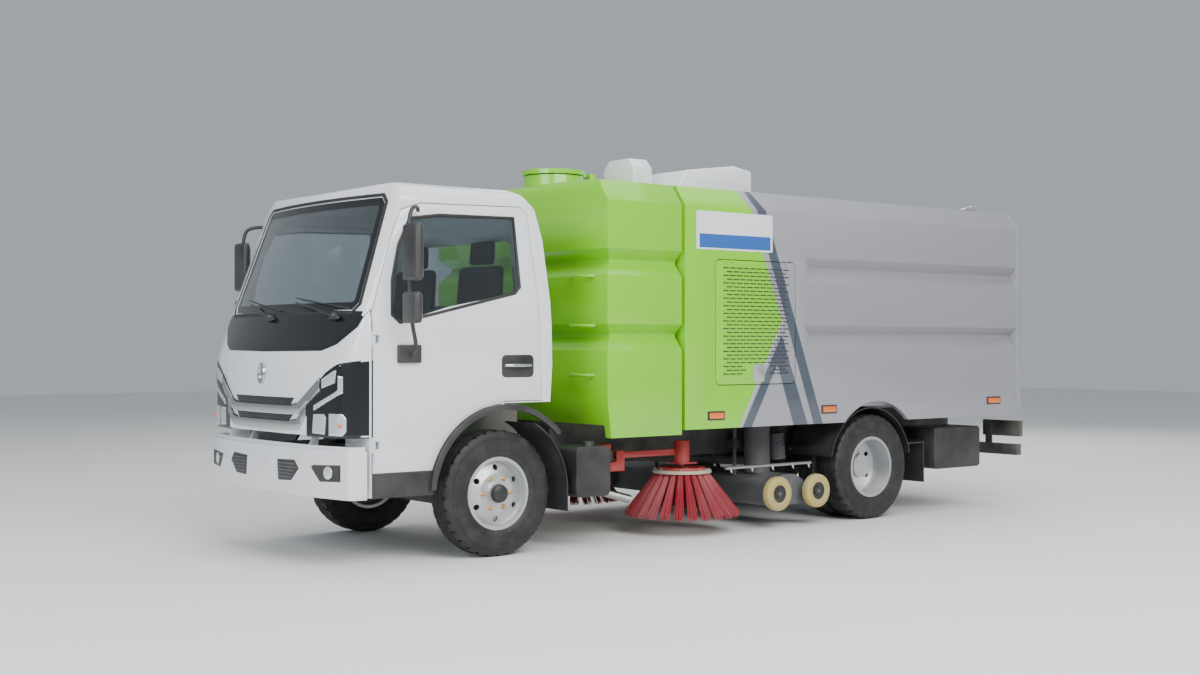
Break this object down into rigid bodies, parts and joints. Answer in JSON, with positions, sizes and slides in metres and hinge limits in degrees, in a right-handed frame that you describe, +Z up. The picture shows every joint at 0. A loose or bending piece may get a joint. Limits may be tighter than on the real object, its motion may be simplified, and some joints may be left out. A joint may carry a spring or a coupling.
{
  "type": "street sweeper truck",
  "caption": "Street sweeper truck: tilting cab over the front wheels, water tank, tipping dust hopper with a top-hung tailgate, side brushes and a suction nozzle.",
  "frame": {"origin": "on the ground, at the middle of the bounding box", "axes": "+X forward, +Y to the left, +Z up"},
  "size_m": [6.325, 2.4, 2.595],
  "materials": {
    "white_paint": "gloss",
    "green_paint": "gloss",
    "grey_paint": "satin",
    "chassis_black": "satin",
    "cast_grey": "rough",
    "steel": "satin",
    "red_paint": "gloss",
    "bristle": "matte",
    "black_plastic": "matte",
    "grey_plastic": "matte",
    "cloth": "woven",
    "glass": "clear",
    "lamp": "clear over reflector",
    "rim_silver": "satin",
    "tyre": "matte",
    "cream_tyre": "matte"
  },
  "bodies": {
    "chassis": {"chassis_frame": "chassis_black", "subframe": "chassis_black", "front_axle": "chassis_black", "rear_axle": "chassis_black", "leaf_springs": "chassis_black", "engine": "cast_grey", "fuel_tank": "black_plastic", "battery_box": "black_plastic", "exhaust": "steel", "front_bumper": "white_paint", "mudguards": "black_plastic", "tail_bar": "chassis_black", "water_tank": "green_paint", "auxiliary_engine": "cast_grey"},
    "cab": {"cab_shell": "white_paint", "cab_glass": "glass", "headlamps": "lamp", "dashboard": "grey_plastic", "seats": "cloth"},
    "left_door_body": {"left_door": "white_paint", "left_door_glass": "glass", "left_mirror": "black_plastic"},
    "right_door_body": {"right_door": "white_paint", "right_door_glass": "glass", "right_mirror": "black_plastic"},
    "steering": {"steering_wheel": "black_plastic"},
    "left_steer": {"left_knuckle": "cast_grey"},
    "right_steer": {"right_knuckle": "cast_grey"},
    "front_left_wheel": {"front_left_tyre": "tyre", "front_left_rim": "rim_silver"},
    "front_right_wheel": {"front_right_tyre": "tyre", "front_right_rim": "rim_silver"},
    "rear_left_wheels": {"rear_left_tyres": "tyre", "rear_left_rims": "rim_silver"},
    "rear_right_wheels": {"rear_right_tyres": "tyre", "rear_right_rims": "rim_silver"},
    "hopper_body": {"hopper": "grey_paint", "roof_hoods": "white_paint"},
    "tailgate_body": {"tailgate": "grey_paint"},
    "left_flap": {"left_engine_flap": "green_paint"},
    "right_flap": {"right_engine_flap": "green_paint"},
    "lid": {"tank_lid": "green_paint"},
    "lift_barrel": {"lift_barrels": "grey_paint"},
    "lift_rod": {"lift_rods": "steel"},
    "left_post": {"left_brush_post": "red_paint"},
    "left_arm": {"left_brush_arm": "red_paint"},
    "left_brush_body": {"left_brush": "bristle"},
    "right_post": {"right_brush_post": "red_paint"},
    "right_arm": {"right_brush_arm": "red_paint"},
    "right_brush_body": {"right_brush": "bristle"},
    "nozzle": {"suction_nozzle": "grey_plastic"},
    "nozzle_fl": {"nozzle_wheel_fl": "cream_tyre"},
    "nozzle_rl": {"nozzle_wheel_rl": "cream_tyre"},
    "nozzle_fr": {"nozzle_wheel_fr": "cream_tyre"},
    "nozzle_rr": {"nozzle_wheel_rr": "cream_tyre"}
  },
  "joints": [
    {"name": "cab_tilt", "type": "hinge", "parent": "chassis", "child": "cab", "pos_m": [3.0375, 0, 0.66], "axis": [0, 1, 0], "range_deg": [0, 45]},
    {"name": "left_door_swing", "type": "hinge", "parent": "cab", "child": "left_door_body", "pos_m": [2.9155, 0.924, 1], "axis": [0, 0, -1], "range_deg": [0, 68]},
    {"name": "right_door_swing", "type": "hinge", "parent": "cab", "child": "right_door_body", "pos_m": [2.9155, -0.924, 1], "axis": [0, 0, 1], "range_deg": [0, 68]},
    {"name": "steering_turn", "type": "hinge", "parent": "cab", "child": "steering", "pos_m": [2.5675, 0.4, 1.42], "axis": [-0.6157, 0, 0.788], "range_deg": [-490, 490]},
    {"name": "left_steer_turn", "type": "hinge", "parent": "chassis", "child": "left_steer", "pos_m": [2.0075, 0.64, 0.387], "axis": [0, 0, 1], "range_deg": [-35, 35]},
    {"name": "right_steer_turn", "type": "hinge", "parent": "chassis", "child": "right_steer", "pos_m": [2.0075, -0.64, 0.387], "axis": [0, 0, 1], "range_deg": [-35, 35]},
    {"name": "front_left_spin", "type": "hinge", "parent": "left_steer", "child": "front_left_wheel", "pos_m": [2.0075, 0.785, 0.387], "axis": [0, 1, 0], "continuous": true},
    {"name": "front_right_spin", "type": "hinge", "parent": "right_steer", "child": "front_right_wheel", "pos_m": [2.0075, -0.785, 0.387], "axis": [0, 1, 0], "continuous": true},
    {"name": "rear_left_spin", "type": "hinge", "parent": "chassis", "child": "rear_left_wheels", "pos_m": [-1.3005, 0.86, 0.387], "axis": [0, 1, 0], "continuous": true},
    {"name": "rear_right_spin", "type": "hinge", "parent": "chassis", "child": "rear_right_wheels", "pos_m": [-1.3005, -0.86, 0.387], "axis": [0, 1, 0], "continuous": true},
    {"name": "hopper_tip", "type": "hinge", "parent": "chassis", "child": "hopper_body", "pos_m": [-2.8525, 0, 0.79], "axis": [0, -1, 0], "range_deg": [0, 45]},
    {"name": "tailgate_lift", "type": "hinge", "parent": "hopper_body", "child": "tailgate_body", "pos_m": [-2.9965, 0, 2.422], "axis": [0, 1, 0], "range_deg": [0, 85]},
    {"name": "left_flap_lift", "type": "hinge", "parent": "hopper_body", "child": "left_flap", "pos_m": [0.0075, 0.996, 1.862], "axis": [1, 0, 0], "range_deg": [0, 80]},
    {"name": "right_flap_lift", "type": "hinge", "parent": "hopper_body", "child": "right_flap", "pos_m": [0.0075, -0.996, 1.862], "axis": [-1, 0, 0], "range_deg": [0, 80]},
    {"name": "lid_lift", "type": "hinge", "parent": "chassis", "child": "lid", "pos_m": [0.6805, 0, 2.488], "axis": [0, -1, 0], "range_deg": [0, 110]},
    {"name": "lift_barrel_turn", "type": "hinge", "parent": "chassis", "child": "lift_barrel", "pos_m": [-0.4025, 0, 0.61], "axis": [0, 1, 0], "range_deg": [0, 23.58]},
    {"name": "lift_rod_slide", "type": "slide", "parent": "lift_barrel", "child": "lift_rod", "axis": [-0.9897, 0, 0.1431], "range_m": [0, 0.6098]},
    {"name": "left_brush_swing", "type": "hinge", "parent": "chassis", "child": "left_post", "pos_m": [0.9695, 0.62, 0.555], "axis": [0, 0, -1], "range_deg": [0, 25]},
    {"name": "left_brush_lower", "type": "hinge", "parent": "left_post", "child": "left_arm", "pos_m": [0.8745, 0.62, 0.555], "axis": [0, -1, 0], "range_deg": [0, 5]},
    {"name": "left_brush_spin", "type": "hinge", "parent": "left_arm", "child": "left_brush_body", "pos_m": [0.3195, 0.65, 0.43], "axis": [0, 0, 1], "continuous": true},
    {"name": "right_brush_swing", "type": "hinge", "parent": "chassis", "child": "right_post", "pos_m": [0.9695, -0.62, 0.555], "axis": [0, 0, 1], "range_deg": [0, 25]},
    {"name": "right_brush_lower", "type": "hinge", "parent": "right_post", "child": "right_arm", "pos_m": [0.8745, -0.62, 0.555], "axis": [0, -1, 0], "range_deg": [0, 5]},
    {"name": "right_brush_spin", "type": "hinge", "parent": "right_arm", "child": "right_brush_body", "pos_m": [0.3195, -0.65, 0.43], "axis": [0, 0, 1], "continuous": true},
    {"name": "nozzle_lower", "type": "slide", "parent": "chassis", "child": "nozzle", "axis": [0, 0, -1], "range_m": [0, 0.125]},
    {"name": "nozzle_wheel_fl_spin", "type": "hinge", "parent": "nozzle", "child": "nozzle_fl", "pos_m": [-0.2955, 0.965, 0.25], "axis": [0, 1, 0], "continuous": true},
    {"name": "nozzle_wheel_rl_spin", "type": "hinge", "parent": "nozzle", "child": "nozzle_rl", "pos_m": [-0.6855, 0.965, 0.25], "axis": [0, 1, 0], "continuous": true},
    {"name": "nozzle_wheel_fr_spin", "type": "hinge", "parent": "nozzle", "child": "nozzle_fr", "pos_m": [-0.2955, -0.965, 0.25], "axis": [0, 1, 0], "continuous": true},
    {"name": "nozzle_wheel_rr_spin", "type": "hinge", "parent": "nozzle", "child": "nozzle_rr", "pos_m": [-0.6855, -0.965, 0.25], "axis": [0, 1, 0], "continuous": true}
  ],
  "couplings": [
    {"joint": "right_steer_turn", "follows": "left_steer_turn", "ratio": 1},
    {"joint": "steering_turn", "follows": "left_steer_turn", "ratio": 14},
    {"joint": "lift_barrel_turn", "follows": "hopper_tip", "ratio": 0.5128},
    {"joint": "lift_rod_slide", "follows": "hopper_tip", "m_per_rad": 0.77518}
  ]
}
